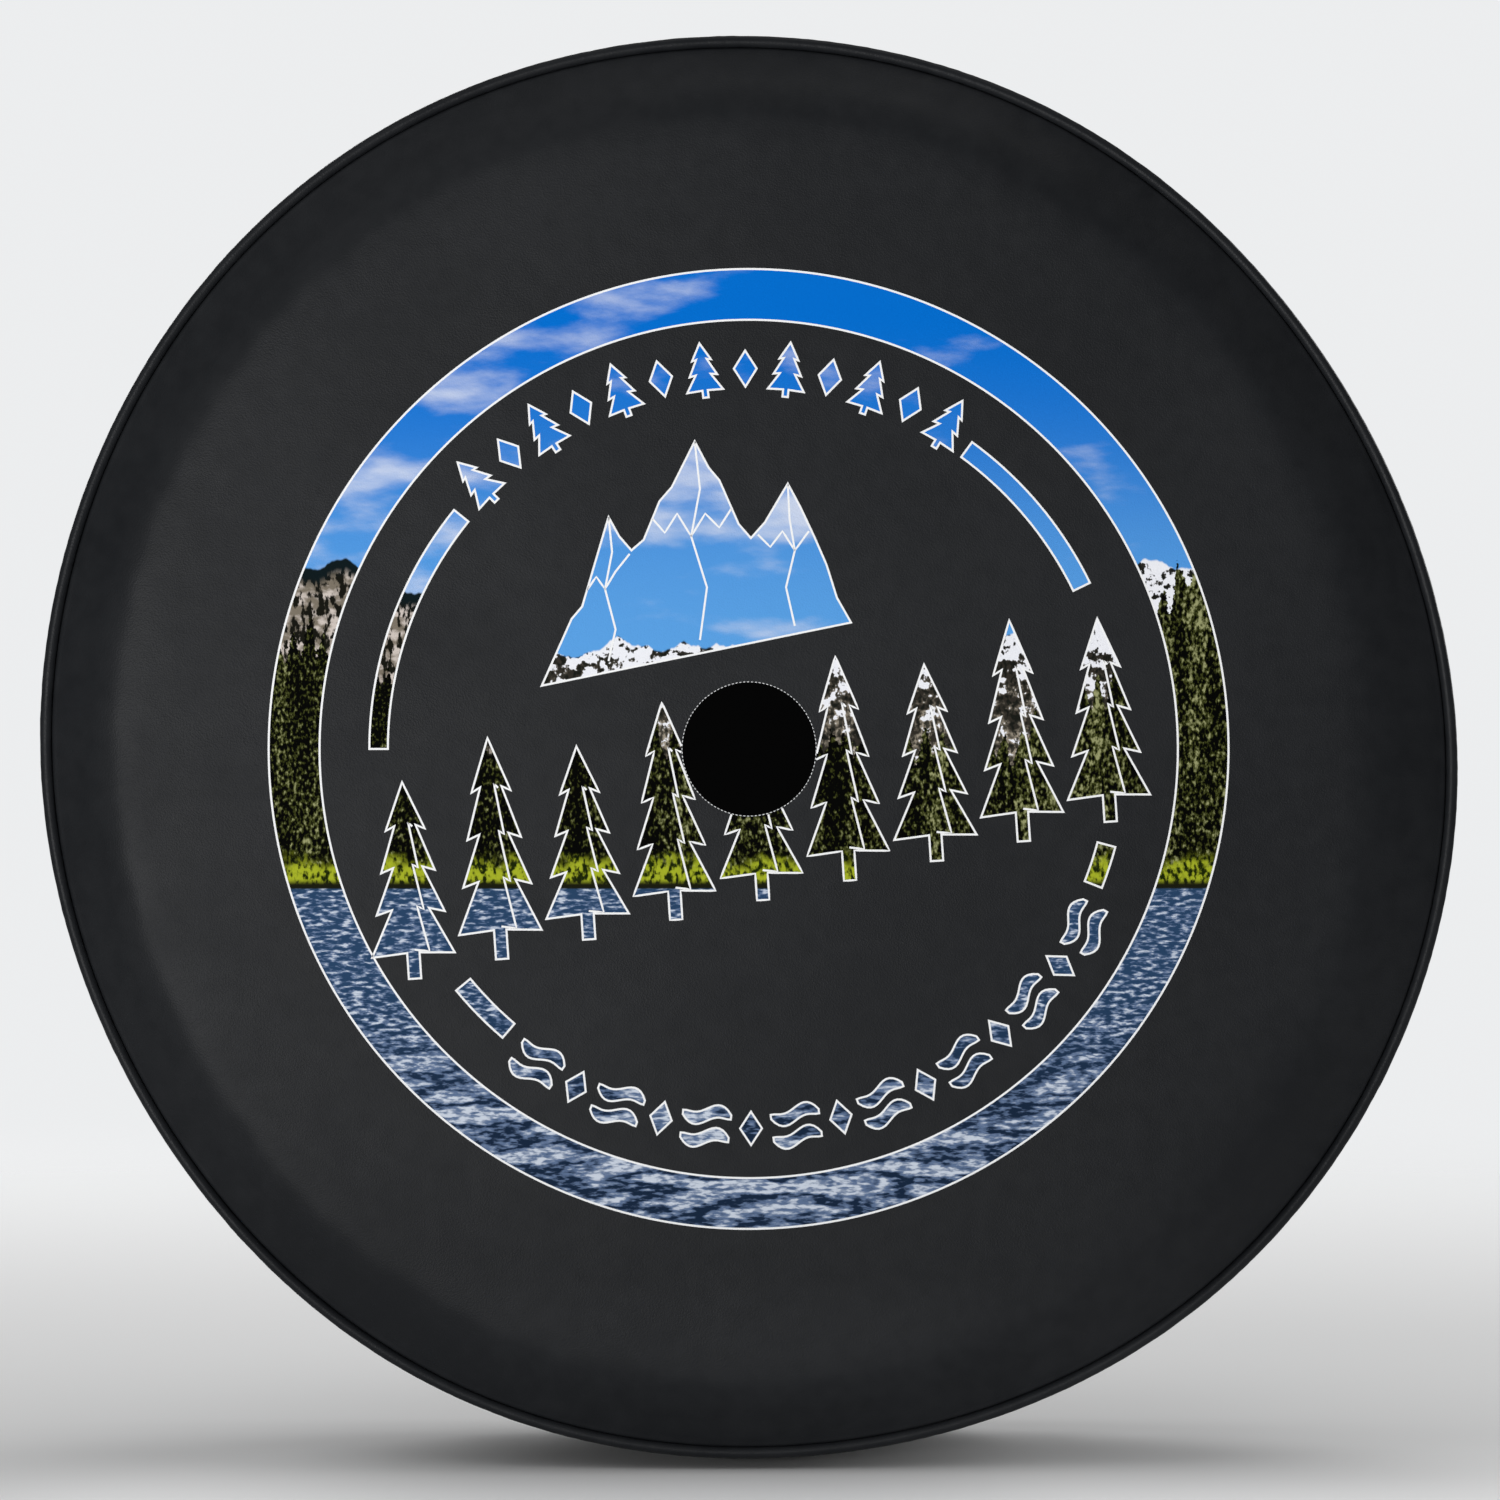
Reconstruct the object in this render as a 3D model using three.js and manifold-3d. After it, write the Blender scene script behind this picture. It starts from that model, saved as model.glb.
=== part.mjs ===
// Spare tyre cover: a round sewn vinyl cover with a piped front rim, a camera opening in the
// middle of its face, and a rear hem gathered by an elastic cord.
//
// Millimetres, +Z up. The origin is the centre of the covered tyre, on its axis. The printed
// face looks along -Y and the elastic mouth opens along +Y. The cover is drawn in the shape it
// takes on the tyre. Every section is drawn in (radius, y) and turned about the Y axis.

import * as THREE from 'three';
import { mergeVertices } from 'three/addons/utils/BufferGeometryUtils.js';
import Module from 'manifold-3d';

const wasm = await Module();
wasm.setup();

// Driving dimensions.
const SEGMENTS = 48; // flats round the circle, the same on every ring so that gaps stay even
const GAP = 0.3; // clearance kept between neighbouring pieces
const COVER_RADIUS = 407.5; // over the welt
const FACE_Y = -130; // outer side of the front face
const HEM_Y = 131.5; // middle of the rear hem
const VINYL = 1.1; // coated cloth of the face and the tread bands
const TAPE = 0.5; // binding tape and label
const THREAD_RADIUS = 0.35;

const CAMERA_OPENING_RADIUS = 38;
const FACING_RADIUS = 58; // ring that reinforces the camera opening
const FACING_RECESS = 0.3; // how much thinner the face is under that ring
const FLAT_RADIUS = 350; // where the face starts to roll back towards the rim

const WELT_OUTER = 3.4;
const WELT_SKIN = 0.8;
const WELT_CORE = 2.1;
const WELT_CENTRE = new THREE.Vector2(COVER_RADIUS - WELT_OUTER, -106.5);
const SEAM_ANGLE = Math.PI * 0.75; // direction in which the seam allowances point, inwards
const SEAM_START = 4.6; // from the welt's centre to the line where both panels turn in
const SEAM_END = 14.2; // from the welt's centre to the panels' cut edges
const FLANGE_END = 13.6; // from the welt's centre to the sleeve's cut edges

const BAND_RADIUS = 403; // middle of the tread band's cloth
const SHOULDER_RADIUS = 37.5;
const SHOULDER_CENTRE = new THREE.Vector2(365, 90);

const ELASTIC_CENTRE = new THREE.Vector2(316, HEM_Y);
const ELASTIC_RADIUS = 2.3;
const CASING_RADIUS = 3.95; // middle of the casing's skin round the elastic
const CASING_SKIN = 0.7;
const CASING_EDGE = 336; // radius of the casing's sewn-down edges
const BAND_EDGE = 321.5; // radius of the band's rear edge, inside the casing
const FERRULE_RADIUS = 3.0;
const FERRULE_LENGTH = 22;

const JOIN_GAP = 0.6; // between the two tread bands, where they meet at the sides
const JOIN_TAPE_WIDTH = 26;
const JOIN_STITCH_OFFSET = 5; // from the join to each row of stitches
const LABEL = { width: 38, length: 32, z: -400.2, y: 66 };

// Sections: points in (radius, y), their strips and their outlines.

const at = (radius, y) => new THREE.Vector2(radius, y);

// A point beside the seam: `along` the allowances from the welt, `across` towards the face.
function seamPoint(along, across) {
  const c = Math.cos(SEAM_ANGLE);
  const s = Math.sin(SEAM_ANGLE);
  return at(WELT_CENTRE.x + along * c - across * s, WELT_CENTRE.y + along * s + across * c);
}

// Points on an arc, both ends included. Angles are in degrees from the radius direction.
function arcPoints(centre, radius, fromDegrees, toDegrees, steps) {
  return Array.from({ length: steps + 1 }, (_, i) => {
    const angle = THREE.MathUtils.degToRad(fromDegrees + ((toDegrees - fromDegrees) * i) / steps);
    return at(centre.x + radius * Math.cos(angle), centre.y + radius * Math.sin(angle));
  });
}

// The line parallel to `line`, moved `distance` to the left of its direction.
function offsetLine(line, distance) {
  const normal = (a, b) => b.clone().sub(a).normalize().rotateAround(at(0, 0), Math.PI / 2);
  return line.map((point, i) => {
    const before = i > 0 ? normal(line[i - 1], point) : normal(point, line[i + 1]);
    const after = i < line.length - 1 ? normal(point, line[i + 1]) : before;
    const mitre = before.clone().add(after).normalize();
    return point.clone().addScaledVector(mitre, distance / mitre.dot(before));
  });
}

// The outline of a strip of cloth whose middle follows `line`.
function strip(line, thickness) {
  return [...offsetLine(line, -thickness / 2), ...offsetLine(line, thickness / 2).reverse()];
}

// A small ring of thread: a four-sided section about `centre`.
const threadSection = (centre) => arcPoints(centre, THREAD_RADIUS, 0, 270, 3);

const rectangle = (r0, r1, y0, y1) => [at(r0, y0), at(r1, y0), at(r1, y1), at(r0, y1)];

// Solids.

// The closed outline turned about the Y axis.
function ring(outline) {
  const points = THREE.ShapeUtils.area(outline) > 0 ? outline : [...outline].reverse();
  return new THREE.LatheGeometry([...points, points[0]], SEGMENTS);
}

function toSolid(geometry) {
  const bare = geometry.clone();
  bare.deleteAttribute('normal');
  bare.deleteAttribute('uv');
  const merged = mergeVertices(bare, 1e-4);
  return new wasm.Manifold(
    new wasm.Mesh({
      numProp: 3,
      vertProperties: new Float32Array(merged.attributes.position.array),
      triVerts: new Uint32Array(merged.index.array),
    }),
  );
}

function toGeometry(solid) {
  const mesh = solid.getMesh();
  const geometry = new THREE.BufferGeometry();
  geometry.setAttribute('position', new THREE.BufferAttribute(mesh.vertProperties, 3));
  geometry.setIndex(new THREE.BufferAttribute(mesh.triVerts, 1));
  geometry.computeVertexNormals();
  return geometry;
}

const keepInside = (geometry, box) => toGeometry(toSolid(geometry).intersect(toSolid(box)));
const cutAway = (geometry, tool) => toGeometry(toSolid(geometry).subtract(toSolid(tool)));

// A box from its lowest corner to its highest.
function block(low, high) {
  const size = high.map((value, i) => value - low[i]);
  const centre = high.map((value, i) => (value + low[i]) / 2);
  return new THREE.BoxGeometry(...size).translate(...centre);
}

// Materials.

const finish = (color, roughness, metalness = 0) => () =>
  new THREE.MeshStandardMaterial({ color, roughness, metalness });

const faceVinyl = finish(0x2b2c2e, 0.62);
const bandVinyl = finish(0x222325, 0.6);
const weltVinyl = finish(0x26272a, 0.5);
const bindingTape = finish(0x1b1b1d, 0.9);
const cottonCore = finish(0xcfc8b8, 0.95);
const blackThread = finish(0x151517, 0.75);
const greyThread = finish(0x8f9194, 0.7);
const elastic = finish(0x1d1d20, 0.85);
const crimpedMetal = finish(0xa9abae, 0.35, 1);
const labelCloth = finish(0xd9d8d3, 0.9);

// Front face and camera opening.

// Face cloth: flat, rolled back to a short cone, then turned in behind the welt.
function faceLine() {
  return [
    at(CAMERA_OPENING_RADIUS, FACE_Y + VINYL / 2),
    at(FLAT_RADIUS, FACE_Y + VINYL / 2),
    at(362, -128.4),
    at(371, -125.2),
    at(386, -115.6),
    seamPoint(SEAM_START, 1.8),
    seamPoint(SEAM_END, 1.8),
  ];
}

function facePanel() {
  const outer = offsetLine(faceLine(), -VINYL / 2);
  const inner = offsetLine(faceLine(), VINYL / 2);
  const innerY = FACE_Y + VINYL;
  const recess = [
    at(FACING_RADIUS, innerY),
    at(FACING_RADIUS, innerY - FACING_RECESS),
    at(CAMERA_OPENING_RADIUS, innerY - FACING_RECESS),
  ];
  return ring([...outer, ...inner.slice(1).reverse(), ...recess]);
}

function cameraOpeningFacing() {
  const front = FACE_Y + VINYL - FACING_RECESS + GAP;
  return ring(rectangle(CAMERA_OPENING_RADIUS + 0.4, FACING_RADIUS - 0.4, front, front + 1));
}

function cameraOpeningThread() {
  return ring(threadSection(at(CAMERA_OPENING_RADIUS + 4, FACE_Y - GAP - THREAD_RADIUS)));
}

// Piped rim seam. From the welt inwards the layers are: face cloth, sleeve, sleeve, band cloth.

// A skin wrapped round a centre, with two edges side by side, as a line.
function wrap(centre, radius, half, awayDegrees, steps, edgeA, edgeB) {
  const open = THREE.MathUtils.radToDeg(Math.asin(half / radius));
  const arc = arcPoints(centre, radius, awayDegrees + open, awayDegrees + 360 - open, steps);
  return [edgeA, ...arc, edgeB];
}

function weltSleeve() {
  const half = GAP / 2 + WELT_SKIN / 2;
  const radius = WELT_OUTER - WELT_SKIN / 2;
  const away = THREE.MathUtils.radToDeg(SEAM_ANGLE);
  const edges = [seamPoint(FLANGE_END, half), seamPoint(FLANGE_END, -half)];
  return ring(strip(wrap(WELT_CENTRE, radius, half, away, 8, ...edges), WELT_SKIN));
}

function weltCord() {
  return ring(arcPoints(WELT_CENTRE, WELT_CORE, 0, 315, 7));
}

// Tape folded over the cut edges of the seam.
function faceSeamBinding() {
  const side = 2.9;
  const line = [
    seamPoint(8.5, side),
    seamPoint(SEAM_END + 0.8, side),
    seamPoint(SEAM_END + 2, side / 2),
    seamPoint(SEAM_END + 2, -side / 2),
    seamPoint(SEAM_END + 0.8, -side),
    seamPoint(8.5, -side),
  ];
  return ring(strip(line, TAPE));
}

function faceSeamThread() {
  return ring(threadSection(seamPoint(11.5, 2.9 + TAPE / 2 + GAP + THREAD_RADIUS)));
}

// Tread bands.

// The stretch of the band that shows: the tread and the rear shoulder.
function shownBandLine() {
  return [
    at(BAND_RADIUS - 0.2, -60),
    at(BAND_RADIUS, 0),
    at(BAND_RADIUS - 0.2, 60),
    ...arcPoints(SHOULDER_CENTRE, SHOULDER_RADIUS, 0, 75, 4),
  ];
}

function bandLine() {
  const turn = at(BAND_RADIUS, WELT_CENTRE.y + 6);
  const seam = [seamPoint(SEAM_END, -1.8), seamPoint(SEAM_START, -1.8), turn];
  const rear = [at(350, 130.5), at(CASING_EDGE + 2, HEM_Y), at(BAND_EDGE, HEM_Y)];
  return [...seam, ...shownBandLine(), ...rear];
}

// One half of a ring; `side` is +1 for the upper half and -1 for the lower.
function halfRing(section, side) {
  const reach = COVER_RADIUS + 10;
  const near = (side * JOIN_GAP) / 2;
  const far = side * reach;
  const low = [-reach, -200, Math.min(near, far)];
  const high = [reach, 200, Math.max(near, far)];
  return keepInside(ring(section), block(low, high));
}

function treadBand(side) {
  return halfRing(strip(bandLine(), VINYL), side);
}

// A strip that crosses the band from front to rear at a side join. `side` is +1 at +X.
function joinStrip(line, thickness, side, z0, z1) {
  const low = [side > 0 ? 200 : -500, -200, z0];
  const high = [side > 0 ? 500 : -200, 200, z1];
  return keepInside(ring(strip(line, thickness)), block(low, high));
}

// Tape behind the join, on the inside of the band.
function joinTape(side) {
  const middle = [at(BAND_RADIUS - 0.3, -90), ...shownBandLine(), at(350, 130.5)];
  const line = offsetLine(middle, VINYL / 2 + GAP + 0.4);
  return joinStrip(line, 0.8, side, -JOIN_TAPE_WIDTH / 2, JOIN_TAPE_WIDTH / 2);
}

// One row of stitches on the outside of the band; `row` is +1 above the join, -1 below it.
function joinThread(side, row) {
  const middle = [at(BAND_RADIUS - 0.3, -98), ...shownBandLine(), at(350, 130.5)];
  const line = offsetLine(middle, -(VINYL / 2 + GAP + THREAD_RADIUS));
  const z = row * JOIN_STITCH_OFFSET;
  return joinStrip(line, 2 * THREAD_RADIUS, side, z - THREAD_RADIUS, z + THREAD_RADIUS);
}

// Rear hem.

// Casing strip folded round the elastic, with the band's rear edge between its two edges.
// Each half of the band has its own.
function hemCasing(side) {
  const half = VINYL / 2 + GAP + CASING_SKIN / 2;
  const edges = [at(CASING_EDGE, HEM_Y + half), at(CASING_EDGE, HEM_Y - half)];
  const line = wrap(ELASTIC_CENTRE, CASING_RADIUS, half, 0, 8, ...edges);
  return halfRing(strip(line, CASING_SKIN), side);
}

function hemThread() {
  const half = VINYL / 2 + GAP + CASING_SKIN;
  return ring(threadSection(at(CASING_EDGE - 4, HEM_Y + half + GAP + THREAD_RADIUS)));
}

function elasticCord() {
  return ring(arcPoints(ELASTIC_CENTRE, ELASTIC_RADIUS, 0, 315, 7));
}

// Crimped sleeve over the elastic's two ends, at the bottom of the mouth.
function elasticCordFerrule() {
  const half = FERRULE_LENGTH / 2;
  const outside = ring(arcPoints(ELASTIC_CENTRE, FERRULE_RADIUS, 0, 315, 7));
  const inside = ring(arcPoints(ELASTIC_CENTRE, ELASTIC_RADIUS + GAP, 0, 315, 7));
  return cutAway(keepInside(outside, block([-half, 100, -400], [half, 160, -200])), inside);
}

// Blank sewn-in label, inside the lower band near the hem.
function careLabel() {
  const label = new THREE.BoxGeometry(LABEL.width, LABEL.length, TAPE);
  return label.translate(0, LABEL.y, LABEL.z);
}

// Assembly.

const group = new THREE.Group();

function add(name, geometry, material) {
  const mesh = new THREE.Mesh(geometry, material());
  mesh.name = name;
  group.add(mesh);
}

add('face_panel', facePanel(), faceVinyl);
add('camera_opening_facing', cameraOpeningFacing(), faceVinyl);
add('camera_opening_thread', cameraOpeningThread(), greyThread);

add('welt_cord', weltCord(), cottonCore);
add('welt_sleeve', weltSleeve(), weltVinyl);
add('face_seam_binding', faceSeamBinding(), bindingTape);
add('face_seam_thread', faceSeamThread(), blackThread);

add('tread_band_upper', treadBand(1), bandVinyl);
add('tread_band_lower', treadBand(-1), bandVinyl);
for (const [sideName, side] of [['right', 1], ['left', -1]]) {
  add(`join_tape_${sideName}`, joinTape(side), bindingTape);
  for (const [rowName, row] of [['upper', 1], ['lower', -1]]) {
    add(`join_thread_${sideName}_${rowName}`, joinThread(side, row), blackThread);
  }
}

add('hem_casing_upper', hemCasing(1), bindingTape);
add('hem_casing_lower', hemCasing(-1), bindingTape);
add('hem_thread', hemThread(), blackThread);
add('elastic_cord', elasticCord(), elastic);
add('elastic_cord_ferrule', elasticCordFerrule(), crimpedMetal);
add('care_label', careLabel(), labelCloth);

export default group;
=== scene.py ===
"""The looks of the spare tyre cover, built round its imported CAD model.

Metres, +Z up, the printed face towards -Y. Every cloth piece is a section in (radius, y) taken
round the tyre's axis, with its own folds, and then given the cover's slightly uneven outline.
Angles round the axis start at +X and turn towards +Z.
"""

import math

import bpy
import numpy as np
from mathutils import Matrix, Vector
from mathutils.geometry import delaunay_2d_cdt


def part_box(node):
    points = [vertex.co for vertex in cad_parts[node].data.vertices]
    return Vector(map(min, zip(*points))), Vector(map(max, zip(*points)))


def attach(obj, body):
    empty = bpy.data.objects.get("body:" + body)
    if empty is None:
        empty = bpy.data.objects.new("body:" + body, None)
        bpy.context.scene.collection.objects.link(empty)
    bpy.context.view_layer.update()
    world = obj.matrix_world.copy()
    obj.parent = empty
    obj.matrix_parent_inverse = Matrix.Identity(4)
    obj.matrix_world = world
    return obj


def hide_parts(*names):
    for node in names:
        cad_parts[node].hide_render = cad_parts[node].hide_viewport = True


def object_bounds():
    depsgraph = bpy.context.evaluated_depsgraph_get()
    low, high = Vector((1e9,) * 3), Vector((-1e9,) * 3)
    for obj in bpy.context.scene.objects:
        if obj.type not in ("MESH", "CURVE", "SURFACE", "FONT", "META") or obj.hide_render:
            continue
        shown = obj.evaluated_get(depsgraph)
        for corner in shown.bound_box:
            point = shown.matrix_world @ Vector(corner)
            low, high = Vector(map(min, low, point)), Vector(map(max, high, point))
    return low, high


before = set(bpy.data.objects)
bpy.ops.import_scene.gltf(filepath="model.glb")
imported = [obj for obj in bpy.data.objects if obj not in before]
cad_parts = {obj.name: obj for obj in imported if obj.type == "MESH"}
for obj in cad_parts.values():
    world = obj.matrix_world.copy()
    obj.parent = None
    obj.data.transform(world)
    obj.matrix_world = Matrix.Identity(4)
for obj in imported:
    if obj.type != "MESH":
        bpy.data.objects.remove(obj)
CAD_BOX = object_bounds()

MM = 0.001
BODY = "root"


# ---------------- the frame's dimensions

def cad_radii(node):
    """A CAD node's smallest and largest distance from the tyre's axis."""
    corners = np.array([v.co[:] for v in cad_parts[node].data.vertices])
    distance = np.hypot(corners[:, 0], corners[:, 2])
    return float(distance.min()), float(distance.max())


def ring_centre(node):
    """The middle of a round CAD node's section, as (radius, y)."""
    low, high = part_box(node)
    return np.array([sum(cad_radii(node)) / 2, (low[1] + high[1]) / 2])


OPENING = cad_radii("face_panel")[0]
FACING = cad_radii("camera_opening_facing")[1]
FACE_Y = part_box("face_panel")[0][1]
RIM = cad_radii("welt_sleeve")[1]
WELT = ring_centre("welt_cord")
WELT_RADIUS = RIM - WELT[0]
CORE_RADIUS = cad_radii("welt_cord")[1] - WELT[0]
ELASTIC = ring_centre("elastic_cord")
ELASTIC_RADIUS = cad_radii("elastic_cord")[1] - ELASTIC[0]
CASING_RADIUS = ELASTIC[0] - cad_radii("hem_casing_upper")[0]
CASING_EDGE = cad_radii("hem_casing_upper")[1]
BAND = cad_radii("tread_band_upper")[1]
VINYL = 1.0 * MM
SEAM_DIRECTION = np.array([-1, 1]) / math.sqrt(2)  # the way the rim's seam allowances point
SEAM_SIDE = np.array([-1, -1]) / math.sqrt(2)  # from the seam towards the face


def seam_point(along, across):
    """A point beside the rim seam, in millimetres from the welt's centre."""
    return WELT + (SEAM_DIRECTION * along + SEAM_SIDE * across) * MM


# ---------------- lines and waves

def smooth(low, high, value):
    """0 below low, 1 above high, and an even curve between."""
    t = np.clip((value - low) / (high - low), 0, 1)
    return t * t * (3 - 2 * t)


def unit(vectors):
    return vectors / np.linalg.norm(vectors, axis=-1, keepdims=True)


def left_of(ahead):
    """Unit vectors square to flat directions, to the left of each."""
    return unit(np.stack([-ahead[:, 1], ahead[:, 0]], -1))


def run_along(line):
    """How far along the line each of its points is."""
    return np.concatenate([[0], np.cumsum(np.linalg.norm(np.diff(line, axis=0), axis=1))])


def spline(points, counts):
    """A smooth line through the points, with counts[k] steps after point k."""
    p = np.array(points, float)
    t = run_along(p)
    slope = np.gradient(p, t, axis=0)
    line = []
    for k, steps in enumerate(counts):
        span = t[k + 1] - t[k]
        u = (np.arange(steps) / steps)[:, None]
        line.append(
            (2 * u**3 - 3 * u**2 + 1) * p[k] + (u**3 - 2 * u**2 + u) * span * slope[k]
            + (3 * u**2 - 2 * u**3) * p[k + 1] + (u**3 - u**2) * span * slope[k + 1]
        )
    return np.vstack([*line, p[-1:]])


def wave(phi, crests, spread, seed, terms=7):
    """An irregular wave round the circle with about that many crests, mostly within -1 to 1."""
    rng = np.random.default_rng(seed)
    total = np.zeros_like(phi)
    for _ in range(terms):
        turns = int(round(crests + rng.uniform(-spread, spread)))
        total += rng.uniform(0.4, 1) * np.cos(turns * phi + rng.uniform(0, 2 * math.pi))
    return total / math.sqrt(terms) * 1.3


def round_angles(count):
    return np.linspace(0, 2 * math.pi, count, endpoint=False)


def polar(radius, degrees):
    angle = np.radians(degrees)
    return np.stack([radius * np.cos(angle), radius * np.sin(angle)], -1)


def arc(centre, radius, start, end, steps):
    """Points (radius, y) on an arc, angles in degrees, both ends included."""
    return centre + polar(radius, np.linspace(start, end, steps + 1))


def circle(radius, count):
    return polar(radius, np.linspace(0, 360, count, endpoint=False))


def by_angle(line, phi):
    """The same line again for each angle."""
    return np.repeat(line[None], len(phi), axis=0)


# How far the outline departs from a circle, as (waves round it, share of the radius, where the
# first crest is in degrees).
OUT_OF_ROUND = [(2, 0.0108, -55), (3, 0.0032, -16), (4, 0.0025, -25), (6, 0.0020, 4)]


def outline(phi):
    return sum(a * np.cos(n * (phi - math.radians(at))) for n, a, at in OUT_OF_ROUND)


def turned(line, phi):
    """The (radius, y) line, or a grid of them by angle, as points round the axis."""
    if line.ndim == 2:
        line = by_angle(line, phi)
    radius = line[..., 0]
    stretch = 1 + smooth(0.28, 0.40, radius) * outline(phi)[:, None]
    x = radius * stretch * np.cos(phi)[:, None]
    z = radius * stretch * np.sin(phi)[:, None]
    return np.stack([x, line[..., 1], z], -1)


# ---------------- meshes

def build(name, points, faces, materials, uv=None, slots=None, sharp=50):
    """A mesh object that rides on the cover, smooth except at edges sharper than that angle."""
    mesh = bpy.data.meshes.new(name)
    faces = faces.tolist() if isinstance(faces, np.ndarray) else faces
    mesh.from_pydata(np.asarray(points).tolist(), [], faces)
    for material in materials:
        mesh.materials.append(material)
    if slots is not None:
        mesh.polygons.foreach_set("material_index", np.asarray(slots, dtype=np.int32))
    if uv is not None:
        layer = mesh.uv_layers.new(name="cloth")
        layer.data.foreach_set("uv", np.asarray(uv, dtype=np.float32).ravel())
    mesh.shade_smooth()
    if sharp is not None:
        mesh.set_sharp_from_angle(angle=math.radians(sharp))
    mesh.update()
    piece = bpy.data.objects.new(name, mesh)
    bpy.context.scene.collection.objects.link(piece)
    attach(piece, BODY)
    return piece


def stand_in(node):
    """The piece is shown in place of that CAD node, which is hidden."""
    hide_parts(node)


def face_out(points, quads):
    """Whether the quads of a solid face out of it."""
    p = points[quads]
    volume = np.einsum("ij,ij->i", p[:, 0], np.cross(p[:, 1], p[:, 2])).sum()
    volume += np.einsum("ij,ij->i", p[:, 0], np.cross(p[:, 2], p[:, 3])).sum()
    return volume > 0


def solid_of_grid(name, grid, materials, closed_round=True):
    """A solid from a grid of closed sections. Its UV map is in metres: round, then across.

    Where there are two materials, the second half of each section takes the second one.
    """
    n, m = grid.shape[:2]
    rows = np.arange(n if closed_round else n - 1)
    i, j = (a.ravel() for a in np.meshgrid(rows, np.arange(m), indexing="ij"))
    i2, j2 = (i + 1) % n, (j + 1) % m
    quads = np.stack([i * m + j, i2 * m + j, i2 * m + j2, i * m + j2], -1)
    across = run_along(np.vstack([grid[0], grid[0][:1]]))
    radius = float(np.hypot(grid[..., 0], grid[..., 2]).max())
    pitch = radius * (2 * math.pi if closed_round else math.pi) / n
    u = np.stack([i, i + 1, i + 1, i], -1) * pitch
    v = np.stack([across[j], across[j], across[j + 1], across[j + 1]], -1)
    slots = (j >= m // 2) & (j < m - 1) & (len(materials) > 1)
    if not closed_round:
        k = np.arange(m // 2 - 1)
        cap = np.stack([k, k + 1, m - 2 - k, m - 1 - k], -1)
        quads = np.vstack([quads, cap, (cap + (n - 1) * m)[:, ::-1]])
        flat = np.zeros((2 * len(cap), 4))
        u, v = np.vstack([u, flat]), np.vstack([v, flat])
        slots = np.concatenate([slots, np.zeros(2 * len(cap))])
    points = grid.reshape(-1, 3)
    if not face_out(points, quads):
        quads, u, v = quads[:, ::-1], u[:, ::-1], v[:, ::-1]
    return build(name, points, quads, materials, np.stack([u, v], -1), slots)


def both_sides(middle, thickness, closed_round=True):
    """Closed sections of a sheet of cloth with that middle: its outside, then its inside."""
    along = np.gradient(middle, axis=1)
    if closed_round:
        around = np.roll(middle, -1, 0) - np.roll(middle, 1, 0)
    else:
        around = np.gradient(middle, axis=0)
    normal = unit(np.cross(around, along))
    outside = middle - normal * thickness / 2
    inside = middle + normal * thickness / 2
    return np.concatenate([outside, inside[:, ::-1]], axis=1)


def cloth(name, middle, thickness, materials, closed_round=True):
    """A sheet of cloth that thick, with its middle at those points."""
    sections = both_sides(middle, thickness, closed_round)
    return solid_of_grid(name, sections, materials, closed_round)


def tube_round(centre, radius, phi, sides, lift=0.0):
    """Sections of a round cord at the (radius, y) centre, one for each angle."""
    line = by_angle(centre + circle(radius, sides), phi)
    line[..., 1] += np.broadcast_to(lift, phi.shape)[:, None]
    return turned(line, phi)


# ---------------- materials

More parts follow.
